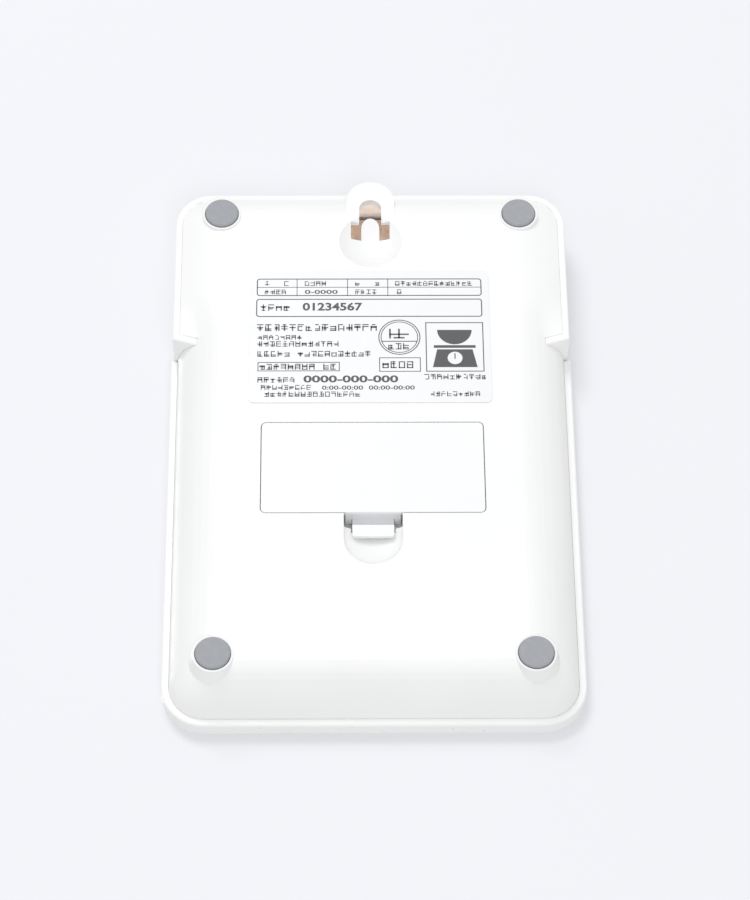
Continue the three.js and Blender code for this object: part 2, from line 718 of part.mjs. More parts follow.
function platformSupport() {
  const top = SUPPORT.z0 + SUPPORT.thick;
  const { crossHalf, endX } = SUPPORT;
  const crossBar = block(-endX, endX, LOADCELL.y - crossHalf, LOADCELL.y + crossHalf, SUPPORT.z0, top);
  const sideBars = [-1, 1].map((side) => {
    const xs = [side * SUPPORT.barX, side * endX].sort((a, b) => a - b);
    return block(xs[0], xs[1], SUPPORT.y0, SUPPORT.y1, SUPPORT.z0, top);
  });
  const spacerLow = LOADCELL.z1 + PRESS_TRAVEL + 0.2;
  const spacer = block(
    SPACER.x0,
    SPACER.x1,
    LOADCELL.y - SPACER.halfY,
    LOADCELL.y + SPACER.halfY,
    spacerLow,
    SUPPORT.z0 + 0.4,
  );
  const pinHoleR = PIN_R + GAP;
  const pinHoles = PIN_PLACES.map(([x, y]) => post(x, y, SUPPORT.z0 - 1, top + 1, pinHoleR, pinHoleR, 20));
  const screwHoles = SUPPORT_SCREW_X.map((x) =>
    join(
      post(x, LOADCELL.y, 10, HEIGHT, 1.6, 1.6, 20),
      post(x, LOADCELL.y, SUPPORT_HEAD_Z - 0.05, HEIGHT, 2.8, 2.8, 24),
    ),
  );
  return cut(join(crossBar, ...sideBars, spacer), ...pinHoles, ...screwHoles);
}

// Aluminium bending beam: one end on the lower case, the other under the platform's support.
function loadCell() {
  const { half, y, halfY, z0, z1 } = LOADCELL;
  const mid = (z0 + z1) / 2;
  const bar = block(-half, half, y - halfY, y + halfY, z0, z1);
  const waistX = 7;
  const waist = [-waistX, waistX].map((x) => rodY(x, y - 10, y + 10, mid, 2.3));
  const slot = block(-waistX, waistX, y - 10, y + 10, mid - 0.7, mid + 0.7);
  const fixedHoles = CELL_SCREW_X.map((x) => post(x, y, z0 - 1, z1 + 1, 1.5, 1.5, 20));
  const freeHoles = SUPPORT_SCREW_X.map((x) => post(x, y, z0 - 1, z1 + 1, 2.0, 2.0, 20));
  return cut(bar, ...waist, slot, ...fixedHoles, ...freeHoles);
}

const gauge = (z0, z1) => plate(roundedRect(-10, 10, LOADCELL.y - 4.5, LOADCELL.y + 4.5, 2), z0, z1);

// Pan-head screw standing along Z. The head is at headZ, and the shank points to tipZ.
function screw(x, y, headZ, tipZ, headR, headH, shankR) {
  const up = Math.sign(tipZ - headZ);
  const headEnd = headZ - up * headH;
  const low = Math.min(headZ, headEnd);
  const head = post(x, y, low, low + headH, up > 0 ? headR * 0.8 : headR, up > 0 ? headR : headR * 0.8, 24);
  const shankZ = [headZ - up * 0.2, tipZ].sort((a, b) => a - b);
  const shank = post(x, y, shankZ[0], shankZ[1], shankR, shankR, 16);
  const crossDepth = headH * 0.5;
  const crossLow = up > 0 ? headEnd - 0.1 : headEnd - crossDepth;
  const crossHigh = up > 0 ? headEnd + crossDepth : headEnd + 0.1;
  const arm = headR * 0.6;
  const cross = join(
    block(x - arm, x + arm, y - 0.3, y + 0.3, crossLow, crossHigh),
    block(x - 0.3, x + 0.3, y - arm, y + arm, crossLow, crossHigh),
  );
  return cut(join(head, shank), cross);
}

// ---------------------------------------------------------------- battery cover and its latch
const LEG = { half: 7.6, y0: 26.3, y1: 27.2, z1: 4.54, sideZ: 7.5 };
const BEND = { half: 5.7, y: 29.1, z: 4.6, inner: 1.9, outer: 2.8 };
const FINGER_TAB = { end: 34.6, corner: 0.7, thick: 1.1 };

function batteryCover() {
  const low = FLOOR_Z;
  const high = FLOOR_Z + COVER.thick;
  const panel = plate(roundedRect(-COVER.half, COVER.half, COVER.y0, COVER.y1, COVER.corner), low, high);
  const hooks = HOOK_X.map((x) =>
    join(
      block(x - HOOK_HALF, x + HOOK_HALF, COVER.y0 + 0.1, BAY.y0 - 0.9, high - OVERLAP, high + 1.4),
      block(x - HOOK_HALF, x + HOOK_HALF, COVER.y0 - 1.2, BAY.y0 - 0.9, high + 0.3, high + 1.4),
    ),
  );
  const leg = block(-LEG.half, LEG.half, LEG.y0, LEG.y1, low + 0.3, LEG.z1);
  const legSides = [-1, 1].map((side) => {
    const [x0, x1] = [side * (BEND.half + 0.15), side * LEG.half].sort((a, b) => a - b);
    return block(x0, x1, LEG.y0, LEG.y1, low + 0.3, LEG.sideZ);
  });
  return join(panel, ...hooks, leg, ...legSides);
}

// The U-bend, its outer leg and the finger tab.
function coverLatch() {
  const { half, y, z, inner, outer } = BEND;
  const ring = new THREE.Shape();
  ring.absarc(0, 0, outer, 0, Math.PI);
  ring.absarc(0, 0, inner, Math.PI, 0, true);
  ring.closePath();
  const bend = new THREE.ExtrudeGeometry(ring, { depth: 2 * half, bevelEnabled: false, curveSegments: 14 });
  bend.rotateX(Math.PI / 2);
  bend.rotateZ(Math.PI / 2);
  bend.translate(-half, y, z);
  const legOuter = block(-half, half, y + inner, y + outer, FLOOR_Z + 0.4, z + 0.05);
  const { end, corner, thick } = FINGER_TAB;
  const tab = new THREE.Shape();
  tab.moveTo(-half, y + inner);
  tab.lineTo(half, y + inner);
  tab.lineTo(half, end - corner);
  tab.quadraticCurveTo(half, end - 0.15, half - corner, end - 0.1);
  tab.quadraticCurveTo(0, end + 0.1, -half + corner, end - 0.1);
  tab.quadraticCurveTo(-half, end - 0.15, -half, end - corner);
  tab.closePath();
  return join(solid(bend), legOuter, plate(tab, FLOOR_Z, FLOOR_Z + thick));
}

// ---------------------------------------------------------------- cells and contacts
const CONTACT_X = { face: 26.2, back: 26.6 };
const CELL_TIP = 26.1;
const NUB = 1.2;

function batteryCell(y, side) {
  const bodyEnd = CELL_TIP - NUB;
  const bodyStart = CELL_TIP - CELL_LENGTH;
  const [b0, b1] = [side * bodyStart, side * bodyEnd].sort((a, b) => a - b);
  const [n0, n1] = [side * (bodyEnd - OVERLAP), side * CELL_TIP].sort((a, b) => a - b);
  return join(rodX(b0, b1, y, CELL_Z, CELL_R, 40), rodX(n0, n1, y, CELL_Z, 1.9, 24));
}

// Conical coil that presses on a cell's flat end.
function coil(y, side) {
  const turns = 4;
  const reach = CONTACT_X.face - (CELL_LENGTH - CELL_TIP) - 0.55;
  const points = [];
  const perTurn = 10;
  for (let i = 0; i <= turns * perTurn; i += 1) {
    const t = i / (turns * perTurn);
    const angle = t * turns * 2 * Math.PI;
    const r = 3.6 - 1.4 * t;
    points.push(
      new THREE.Vector3(
        side * (CONTACT_X.face - 0.1 - reach * t),
        y + r * Math.cos(angle),
        CELL_Z + r * Math.sin(angle),
      ),
    );
  }
  const wire = new THREE.Shape();
  wire.absarc(0, 0, 0.32, 0, 2 * Math.PI);
  const geometry = new THREE.ExtrudeGeometry(wire, {
    steps: turns * perTurn,
    curveSegments: 3,
    bevelEnabled: false,
    extrudePath: new THREE.CatmullRomCurve3(points),
  });
  return solid(geometry);
}

function contactPlate(side, y0, y1) {
  const [x0, x1] = [side * CONTACT_X.face, side * CONTACT_X.back].sort((a, b) => a - b);
  return block(x0, x1, y0, y1, 4.4, 12.9);
}

const solderTag = (y) => block(CONTACT_X.face + 0.1, 29.3, y - 0.5, y + 0.5, TAG_Z - 0.2, TAG_Z + 0.2);

// ---------------------------------------------------------------- electronics
function mainBoard() {
  const board = block(-BOARD.halfX, BOARD.halfX, BOARD.y0, BOARD.y1, BOARD.z, BOARD.z + BOARD.thick);
  const holes = BOARD_SCREWS.map(([x, y]) => post(x, y, BOARD.z - 1, BOARD.z + 3, 1.3, 1.3, 20));
  return cut(board, ...holes);
}

const BOARD_TOP = BOARD.z + BOARD.thick;

function tactSwitch(x) {
  return join(
    block(x - 3, x + 3, BUTTON.y - 3, BUTTON.y + 3, BOARD_TOP + 0.05, BOARD_TOP + 2.25),
    post(x, BUTTON.y, BOARD_TOP + 2, BOARD_TOP + 3.2, 1.6, 1.6, 20),
  );
}

function button(x) {
  const flangeZ = BOARD_TOP + 3.2 + BUTTON.travel + 0.1;
  return join(
    plate(buttonOutline(x, 1.0), flangeZ, flangeZ + 0.8),
    plate(buttonOutline(x, 0), flangeZ + 0.4, HOUSING_TOP + BUTTON.proud),
  );
}

function lcdFrame() {
  const ring = (growX, growY, z0, z1) =>
    block(
      -LCD.halfX - growX,
      LCD.halfX + growX,
      LCD.y - LCD.halfY - growY,
      LCD.y + LCD.halfY + growY,
      z0,
      z1,
    );
  return cut(ring(2.5, 2.2, BOARD_TOP + 0.1, 18.3), ring(GAP, GAP, BOARD_TOP - 1, 19));
}

const zebraStrip = (offset) =>
  block(-LCD.halfX + 2, LCD.halfX - 2, LCD.y + offset - 1, LCD.y + offset + 1, BOARD_TOP + 0.05, 15.95);

function wireAlong(points, radius) {
  const section = new THREE.Shape();
  section.absarc(0, 0, radius, 0, 2 * Math.PI);
  const geometry = new THREE.ExtrudeGeometry(section, {
    steps: 28,
    curveSegments: 4,
    bevelEnabled: false,
    extrudePath: new THREE.CatmullRomCurve3(points.map(([x, y, z]) => new THREE.Vector3(x, y, z))),
  });
  return solid(geometry);
}

const LOADCELL_LEAD = [
  [-12, 35.7, 10.6],
  [-20, 33.5, 10.6],
  [-32, 30, 10.6],
  [-36, 18, 10.6],
  [-36, -6, 10.6],
  [-33, -24, 10.6],
  [-28, -36, 10.6],
  [-26, -42, 11.1],
];
const RED_LEAD = [
  [30, 7.9, 12],
  [32, 4, 11.6],
  [32.5, -8, 11],
  [30, -24, 10.8],
  [22, -36, 10.9],
  [18, -42, 11.3],
];
const BLACK_LEAD = [
  [30, 19.1, 12],
  [33.5, 16, 11.8],
  [35, 4, 11.4],
  [35, -12, 11],
  [31, -30, 10.8],
  [25, -42, 11.3],
];

// ---------------------------------------------------------------- trim
function footPad(x, y) {
  return join(
    post(x, y, 0, 0.3, FOOT_R - 0.3, FOOT_R, 36),
    post(x, y, 0.3, PAD_SEAT_Z - 0.05, FOOT_R, FOOT_R, 36),
  );
}

const ratingLabel = () =>
  plate(
    roundedRect(LABEL.x0, LABEL.x1, LABEL.y0, LABEL.y1, LABEL.corner),
    FLOOR_Z - LABEL.thick - 0.05,
    FLOOR_Z - 0.05,
  );

const displayLens = () =>
  plate(
    roundedRect(-LENS.halfX, LENS.halfX, LCD.y - LENS.halfY, LCD.y + LENS.halfY, LENS.corner),
    LENS_SEAT + 0.05,
    HOUSING_TOP,
  );

// ---------------------------------------------------------------- assembly
const scale = new THREE.Group();
const add = (name, body, material) => scale.add(piece(name, body, material));

add('lower_case', lowerCase(), WHITE);
add('display_housing', displayHousing(), WHITE);
add('platform', platform(), WHITE);
add('platform_support', platformSupport(), STEEL);
add('load_cell', loadCell(), ALLOY);
add('strain_gauge_upper', gauge(LOADCELL.z1 + 0.02, LOADCELL.z1 + 0.45), SEALANT);
add('strain_gauge_lower', gauge(LOADCELL.z0 - 0.45, LOADCELL.z0 - 0.02), SEALANT);
CELL_SCREW_X.forEach((x, i) => {
  add(`loadcell_base_screw_${i + 1}`, screw(x, LOADCELL.y, LOADCELL.z1 + 0.05, 4.2, 2.5, 1.5, 1.05), STEEL);
});
SUPPORT_SCREW_X.forEach((x, i) => {
  add(`loadcell_support_screw_${i + 1}`, screw(x, LOADCELL.y, SUPPORT_HEAD_Z, 8.6, 2.5, 1.4, 1.3), STEEL);
});

add('battery_cover', batteryCover(), COOL_WHITE);
add('cover_latch', coverLatch(), COOL_WHITE);
CELL_Y.forEach((y, i) => {
  add(`battery_cell_${i + 1}`, batteryCell(y, i === 0 ? 1 : -1), CELL_JACKET);
});
add('contact_bridge', join(contactPlate(-1, 3.4, 23.6), coil(CELL_Y[0], -1)), STEEL);
add('contact_positive', join(contactPlate(1, 4.0, 11.8), solderTag(CELL_Y[0])), STEEL);
add('contact_negative', join(contactPlate(1, 15.2, 23.0), coil(CELL_Y[1], 1), solderTag(CELL_Y[1])), STEEL);

add('main_board', mainBoard(), BOARD_TAN);
add('controller_chip', post(0, LCD.y, BOARD.z - 1.4, BOARD.z - 0.05, 4, 5.5), DARK);
add('lcd_panel', block(-LCD.halfX, LCD.halfX, LCD.y - LCD.halfY, LCD.y + LCD.halfY, 16, 18.2), LCD_GLASS);
add('lcd_frame', lcdFrame(), paint('#e8e8e8', 0.6));
add('zebra_strip_1', zebraStrip(-10.2), DARK);
add('zebra_strip_2', zebraStrip(10.2), DARK);
add('display_lens', displayLens(), LENS_CLEAR);
add('power_button', button(-BUTTON.x), BUTTON_GREY);
add('tare_button', button(BUTTON.x), BUTTON_GREY);
add('power_switch', tactSwitch(-BUTTON.x), DARK);
add('tare_switch', tactSwitch(BUTTON.x), DARK);
BOARD_SCREWS.forEach(([x, y], i) => {
  add(`board_screw_${i + 1}`, screw(x, y, BOARD.z - 0.05, 16.6, 2.2, 1.2, 0.85), STEEL);
});
add('loadcell_lead', wireAlong(LOADCELL_LEAD, 1.0), SEALANT);
add('battery_lead_red', wireAlong(RED_LEAD, 0.6), RED_WIRE);
add('battery_lead_black', wireAlong(BLACK_LEAD, 0.6), BLACK_WIRE);

add('rating_label', ratingLabel(), STICKER);
FOOT_PLACES.forEach(([corner, x, y]) => {
  add(`foot_pad_${corner}`, footPad(x, y), GREY_RUBBER);
  add(`case_screw_${corner}`, screw(x, y, SCREW_SEAT_Z - 0.05, 13.6, 2.4, 1.5, 1.1), STEEL);
});

export default scale;
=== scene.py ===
"""Compact digital kitchen scale, seen from below as it lies on its platform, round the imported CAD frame."""

import math
import random

import bmesh
import bpy
from mathutils import Matrix, Vector


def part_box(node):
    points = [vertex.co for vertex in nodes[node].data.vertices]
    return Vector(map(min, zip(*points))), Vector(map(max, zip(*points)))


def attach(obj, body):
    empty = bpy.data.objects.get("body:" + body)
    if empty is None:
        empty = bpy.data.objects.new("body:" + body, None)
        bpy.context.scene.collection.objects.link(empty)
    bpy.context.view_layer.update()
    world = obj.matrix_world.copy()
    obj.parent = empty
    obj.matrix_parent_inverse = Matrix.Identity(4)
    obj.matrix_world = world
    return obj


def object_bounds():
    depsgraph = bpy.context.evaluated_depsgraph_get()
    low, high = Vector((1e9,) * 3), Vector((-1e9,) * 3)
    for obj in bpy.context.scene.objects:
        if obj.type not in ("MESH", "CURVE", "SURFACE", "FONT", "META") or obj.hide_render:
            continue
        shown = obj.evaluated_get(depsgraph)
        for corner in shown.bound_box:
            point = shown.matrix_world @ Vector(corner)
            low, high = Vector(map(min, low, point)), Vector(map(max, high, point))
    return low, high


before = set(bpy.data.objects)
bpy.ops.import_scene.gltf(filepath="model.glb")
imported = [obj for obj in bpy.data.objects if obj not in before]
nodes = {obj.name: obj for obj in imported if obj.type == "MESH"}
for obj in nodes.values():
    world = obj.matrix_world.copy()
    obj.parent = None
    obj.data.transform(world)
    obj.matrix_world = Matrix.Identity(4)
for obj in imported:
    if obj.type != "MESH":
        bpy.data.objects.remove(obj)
cad_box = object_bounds()
MM = 0.001
rng = random.Random(7)

# ------------------------------------------------------------------ places, from the frame
CASE_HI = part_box("lower_case")[1]
LABEL_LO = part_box("rating_label")[0]
LENS_LO, LENS_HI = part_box("display_lens")
PANEL_LO, PANEL_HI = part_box("lcd_panel")
TOP_Z = cad_box[1].z


# ------------------------------------------------------------------ materials
class Shader:
    """A small builder for node materials in object coordinates, in metres."""

    def __init__(self, name):
        self.material = bpy.data.materials.new(name)
        self.material.use_nodes = True
        self.tree = self.material.node_tree
        self.surface = self.tree.nodes["Principled BSDF"]
        self.coords = self.tree.nodes.new("ShaderNodeTexCoord").outputs["Object"]

    def put(self, socket, value):
        self.surface.inputs[socket].default_value = value

    def join(self, source, target):
        self.tree.links.new(source, target)

    def noise(self, size, detail=3.0, stretch=(1, 1, 1), rough=0.5):
        """Noise with features about size metres across."""
        mapping = self.tree.nodes.new("ShaderNodeMapping")
        mapping.inputs["Scale"].default_value = stretch
        self.join(self.coords, mapping.inputs["Vector"])
        node = self.tree.nodes.new("ShaderNodeTexNoise")
        node.inputs["Scale"].default_value = 1.0 / size
        node.inputs["Detail"].default_value = detail
        node.inputs["Roughness"].default_value = rough
        self.join(mapping.outputs["Vector"], node.inputs["Vector"])
        return node.outputs["Fac"]

    def cells(self, size):
        node = self.tree.nodes.new("ShaderNodeTexVoronoi")
        node.inputs["Scale"].default_value = 1.0 / size
        self.join(self.coords, node.inputs["Vector"])
        return node.outputs["Distance"]

    def spread(self, fac, low, high, to_low, to_high):
        node = self.tree.nodes.new("ShaderNodeMapRange")
        node.inputs["From Min"].default_value = low
        node.inputs["From Max"].default_value = high
        node.inputs["To Min"].default_value = to_low
        node.inputs["To Max"].default_value = to_high
        self.join(fac, node.inputs["Value"])
        return node.outputs["Result"]

    def mix(self, fac, a, b):
        node = self.tree.nodes.new("ShaderNodeMix")
        node.data_type = "RGBA"
        for socket, value in ((node.inputs[6], a), (node.inputs[7], b)):
            if hasattr(value, "is_linked"):
                self.join(value, socket)
            else:
                socket.default_value = (*value, 1)
        self.join(fac, node.inputs[0])
        return node.outputs[2]

    def colour(self, source):
        self.join(source, self.surface.inputs["Base Color"])

    def gloss(self, pattern, low, high):
        """Roughness from low to high, following a pattern."""
        self.join(self.spread(pattern, 0.3, 0.7, low, high), self.surface.inputs["Roughness"])

    def bump(self, height, distance, strength=1.0):
        node = self.tree.nodes.new("ShaderNodeBump")
        node.inputs["Distance"].default_value = distance
        node.inputs["Strength"].default_value = strength
        previous = self.surface.inputs["Normal"]
        if previous.is_linked:
            self.join(previous.links[0].from_socket, node.inputs["Normal"])
        self.join(height, node.inputs["Height"])
        self.join(node.outputs["Normal"], self.surface.inputs["Normal"])


def dim(rgb, share):
    return tuple(c * share for c in rgb)


def moulded(name, rgb, rough=0.42, grain=0.35 * MM, relief=0.006 * MM, tone=0.97):
    """Injection-moulded plastic: faint flow shading, a fine spark-eroded grain and uneven gloss."""
    shader = Shader(name)
    flow = shader.noise(34 * MM, 2.0, (1.0, 0.45, 1.0))
    specks = shader.noise(1.1 * MM, 4.0)
    base = shader.mix(shader.spread(flow, 0.35, 0.7, 0, 1), dim(rgb, tone), rgb)
    shader.colour(shader.mix(shader.spread(specks, 0.72, 0.8, 0, 0.07), base, dim(rgb, 0.9)))
    shader.gloss(shader.noise(6 * MM), rough - 0.05, rough + 0.06)
    shader.bump(shader.noise(grain, 2.0), relief, 0.8)
    shader.bump(shader.noise(14 * MM, 1.0), 0.02 * MM, 0.5)
    return shader.material


def rubber(name, rgb):
    shader = Shader(name)
    dust = shader.noise(1.6 * MM, 5.0)
    dusty = tuple(min(1, c * 1.06 + 0.004) for c in rgb)
    shader.colour(shader.mix(shader.spread(dust, 0.45, 0.75, 0, 1), rgb, dusty))
    shader.gloss(shader.noise(0.9 * MM), 0.72, 0.9)
    shader.bump(shader.noise(0.16 * MM, 3.0), 0.02 * MM, 0.8)
    shader.put("Specular IOR Level", 0.3)
    return shader.material


def metal(name, rgb, rough, brushed=(1, 1, 1), relief=0.004 * MM):
    shader = Shader(name)
    shader.put("Metallic", 1.0)
    shader.colour(shader.mix(shader.spread(shader.noise(3 * MM), 0.3, 0.7, 0, 1), dim(rgb, 0.86), rgb))
    streaks = shader.noise(0.7 * MM, 4.0, brushed)
    shader.gloss(streaks, rough - 0.07, rough + 0.1)
    shader.bump(streaks, relief, 0.6)
    return shader.material


def film(name, rgb, rough=0.35):
    shader = Shader(name)
    shader.colour(shader.mix(shader.spread(shader.noise(9 * MM), 0.35, 0.7, 0, 1), dim(rgb, 0.985), rgb))
    shader.gloss(shader.noise(2.5 * MM), rough - 0.04, rough + 0.05)
    shader.bump(shader.noise(5 * MM, 2.0), 0.012 * MM, 0.5)
    return shader.material


def ink(name, rgb):
    shader = Shader(name)
    thin_ink = tuple(c * 1.35 + 0.01 for c in rgb)
    shader.colour(shader.mix(shader.spread(shader.noise(0.2 * MM, 3.0), 0.4, 0.7, 0, 1), rgb, thin_ink))
    shader.put("Roughness", 0.5)
    return shader.material


def board_paper(name, rgb):
    """Phenolic paper board: tan, with fibres and the faint shadow of tracks."""
    shader = Shader(name)
    fibres = shader.noise(0.8 * MM, 5.0, (1.0, 6.0, 1.0))
    tracks = shader.spread(shader.cells(5 * MM), 0.42, 0.47, 0, 1)
    base = shader.mix(shader.spread(fibres, 0.3, 0.7, 0, 1), dim(rgb, 0.86), rgb)
    shader.colour(shader.mix(shader.spread(tracks, 0, 1, 0, 0.3), base, dim(rgb, 0.7)))
    shader.put("Roughness", 0.5)
    shader.bump(fibres, 0.01 * MM, 0.4)
    return shader.material


def sleeve(name, body, band, split_x):
    """Printed shrink sleeve of a cell, with a metallic band towards its positive end."""
    shader = Shader(name)
    split = shader.tree.nodes.new("ShaderNodeSeparateXYZ")
    shader.join(shader.coords, split.inputs["Vector"])
    size = shader.tree.nodes.new("ShaderNodeMath")
    size.operation = "MULTIPLY"
    size.inputs[1].default_value = 1 if split_x > 0 else -1
    shader.join(split.outputs["X"], size.inputs[0])
    edge = shader.spread(size.outputs[0], abs(split_x) - 0.1 * MM, abs(split_x) + 0.1 * MM, 0, 1)
    shader.colour(shader.mix(edge, body, band))
    shader.gloss(shader.noise(2 * MM), 0.22, 0.34)
    shader.put("Metallic", 0.35)
    shader.bump(shader.noise(6 * MM), 0.02 * MM, 0.4)
    return shader.material


def lens_glass(name):
    shader = Shader(name)
    shader.put("Base Color", (0.92, 0.94, 0.95, 1))
    shader.put("Transmission Weight", 1.0)
    shader.put("IOR", 1.49)
    shader.gloss(shader.noise(8 * MM), 0.02, 0.05)
    shader.bump(shader.noise(20 * MM), 0.01 * MM, 0.3)
    return shader.material


WHITE = (0.905, 0.905, 0.905)
COOL = (0.885, 0.892, 0.905)
SHELL = moulded("shell_white", WHITE)
PLATFORM_WHITE = moulded("platform_white", WHITE, rough=0.3, relief=0.003 * MM)
DOOR = moulded("door_white", COOL, rough=0.38)
FOOT = rubber("foot_rubber", (0.35, 0.36, 0.385))
STEEL = metal("zinc_steel", (0.62, 0.63, 0.65), 0.32)
SHEET = metal("zinc_sheet", (0.6, 0.61, 0.63), 0.36, (8, 1, 1))
SPRING = metal("nickel_spring", (0.7, 0.69, 0.67), 0.24)
ALLOY = metal("milled_alloy", (0.74, 0.75, 0.77), 0.3, (1, 14, 1))
SILICONE = moulded("gauge_silicone", (0.86, 0.86, 0.8), rough=0.5, grain=0.8 * MM, relief=0.03 * MM)
LABEL = film("label_film", (0.855, 0.858, 0.87))
PRINT = ink("label_ink", (0.075, 0.075, 0.08))
BOARD = board_paper("phenolic_board", (0.68, 0.56, 0.48))
RESIN = moulded("black_resin", (0.02, 0.02, 0.022), rough=0.35, grain=0.5 * MM, relief=0.02 * MM)
KEY_BODY = moulded("switch_black", (0.035, 0.035, 0.038), rough=0.5)
CARBON = moulded("contact_rubber", (0.03, 0.03, 0.03), rough=0.7, grain=0.3 * MM)
PALE = moulded("frame_grey", (0.72, 0.72, 0.72), rough=0.5)
GLASS_LCD = film("lcd_face", (0.36, 0.4, 0.33), rough=0.18)
LENS = lens_glass("lens_clear")
KEY = moulded("key_grey", (0.6, 0.61, 0.63), rough=0.38)
SHEATH = moulded("lead_sheath", (0.8, 0.8, 0.76), rough=0.5)
RED = moulded("lead_red", (0.5, 0.03, 0.02), rough=0.4)
BLACK = moulded("lead_black", (0.02, 0.02, 0.02), rough=0.4)
MASK = ink("lens_mask", (0.03, 0.032, 0.035))

FINISH = [
    ("lower_case", SHELL),
    ("display_housing", SHELL),
    ("platform_support", SHEET),
    ("platform", PLATFORM_WHITE),
    ("battery_cover", DOOR),
    ("cover_latch", DOOR),
    ("foot_pad", FOOT),
    ("case_screw", STEEL),
    ("board_screw", STEEL),
    ("loadcell_lead", SHEATH),
    ("loadcell", STEEL),
    ("load_cell", ALLOY),
    ("strain_gauge", SILICONE),
    ("contact_", SPRING),
    ("main_board", BOARD),
    ("controller_chip", RESIN),
    ("zebra_strip", CARBON),
    ("lcd_panel", GLASS_LCD),
    ("lcd_frame", PALE),
    ("display_lens", LENS),
    ("power_button", KEY),
    ("tare_button", KEY),
    ("power_switch", KEY_BODY),
    ("tare_switch", KEY_BODY),
    ("battery_lead_red", RED),
    ("battery_lead_black", BLACK),
    ("rating_label", LABEL),
]


# ------------------------------------------------------------------ CAD nodes: finish and edges
def finish_of(name):
    return next(material for start, material in FINISH if name.startswith(start))


def dress(node, material, edge=0.0, angle=35.0):
    """Gives a CAD node its material, an eased edge of that width and smooth shading below that angle."""
    node.data.materials.clear()
    node.data.materials.append(material)
    stored = node.data.attributes.get("custom_normal")
    if stored:
        node.data.attributes.remove(stored)
    node.data.polygons.foreach_set("use_smooth", [True] * len(node.data.polygons))
    weld = node.modifiers.new("weld", "WELD")
    weld.merge_threshold = 0.002 * MM
    if edge > 0:
        bevel = node.modifiers.new("eased edge", "BEVEL")
        bevel.width = edge
        bevel.segments = 2
        bevel.limit_method = "ANGLE"
        bevel.angle_limit = math.radians(angle)
        bevel.harden_normals = False
        bevel.use_clamp_overlap = True
    split = node.modifiers.new("split", "EDGE_SPLIT")
    split.split_angle = math.radians(angle)
    weighted = node.modifiers.new("weighted normals", "WEIGHTED_NORMAL")
    weighted.keep_sharp = True


EASED = {
    "battery_cover": 0.18 * MM,
    "cover_latch": 0.15 * MM,
    "platform_support": 0.1 * MM,
    "lcd_frame": 0.15 * MM,
    "power_button": 0.35 * MM,
    "tare_button": 0.35 * MM,
    "load_cell": 0.2 * MM,
    "strain_gauge_upper": 0.15 * MM,
    "strain_gauge_lower": 0.15 * MM,
}


BAND_LENGTH = 11 * MM  # metallic band of a cell's sleeve, measured from its positive end


def cell_finish(index, side):
    """The sleeve of a cell whose positive end points along side."""
    lo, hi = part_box(f"battery_cell_{index}")
    split_x = hi.x - BAND_LENGTH if side > 0 else lo.x + BAND_LENGTH
    return sleeve(f"cell_sleeve_{index}", (0.05, 0.12, 0.2), (0.62, 0.5, 0.26), split_x)


FINISH += [("battery_cell_1", cell_finish(1, 1)), ("battery_cell_2", cell_finish(2, -1))]
for name, node in nodes.items():
    dress(node, finish_of(name), EASED.get(name, 0.0))


# ------------------------------------------------------------------ printing
PRINT_GAP = 0.012 * MM  # how far the ink stands off the label and the keys
DIGIT_GAP = 0.02 * MM
MASK_GAP = 0.03 * MM
SIGN_WIDTH = 0.78  # of its height
SIGN_STROKE = 0.15  # of its height
SIGN_PITCH = 1.28  # of its width


class Print:
    """Flat marks gathered into one thin mesh, at one height."""

    def __init__(self, z, down):
        self.mesh = bmesh.new()
        self.z = z
        self.down = down

    def face(self, points):
        corners = [self.mesh.verts.new((x, y, self.z)) for x, y in points]
        face = self.mesh.faces.new(corners)
        face.normal_update()
        if (face.normal.z > 0) == self.down:
            face.normal_flip()

    def box(self, x0, x1, y0, y1):
        self.face([(x0, y0), (x1, y0), (x1, y1), (x0, y1)])

    def frame(self, x0, x1, y0, y1, width):
        self.box(x0, x1, y0, y0 + width)
        self.box(x0, x1, y1 - width, y1)
        self.box(x0, x0 + width, y0 + width, y1 - width)
        self.box(x1 - width, x1, y0 + width, y1 - width)

    def ring(self, x, y, radius, width, start=0.0, stop=360.0, steps=48):
        for i in range(steps):
            a, b = (math.radians(start + (stop - start) * k / steps) for k in (i, i + 1))
            inner = radius - width
            self.face(
                [
                    (x + inner * math.cos(a), y + inner * math.sin(a)),
                    (x + radius * math.cos(a), y + radius * math.sin(a)),
                    (x + radius * math.cos(b), y + radius * math.sin(b)),
                    (x + inner * math.cos(b), y + inner * math.sin(b)),
                ]
            )

    def done(self, name, material, body):
        mesh = bpy.data.meshes.new(name)
        self.mesh.to_mesh(mesh)
        self.mesh.free()
        mesh.materials.append(material)
        obj = bpy.data.objects.new(name, mesh)
        bpy.context.scene.collection.objects.link(obj)
        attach(obj, body)
        return obj


def mark(page, x, y, width, height, stroke):
    """One sign made of a few random strokes. It may look like a letter by chance, but it spells nothing."""
    far_x, far_y = x + width, y + height
    mid_x, mid_y = x + width / 2 - stroke / 2, y + height / 2 - stroke / 2
    across = [y, y + height * 0.28, mid_y, y + height * 0.62, far_y - stroke]
    down = [x, mid_x, far_x - stroke]
    for v in rng.sample(across, rng.choice((2, 3, 3))):
        lead = rng.choice((0, 0, width * 0.22))
        page.box(x + lead, far_x - lead, v, v + stroke)
    for u in rng.sample(down, rng.choice((1, 2, 2))):
        top = rng.choice((0, height * 0.25))
        page.box(u, u + stroke, y + top, far_y)


def line_of_marks(page, x, y, length, height, fill=0.9):
    """A row of invented signs that stands for a line of small print."""
    width = height * SIGN_WIDTH
    stroke = height * SIGN_STROKE
    at = x
    while at + width <= x + length:
        if rng.random() < fill:
            mark(page, at, y, width, height, stroke)
        at += width * SIGN_PITCH


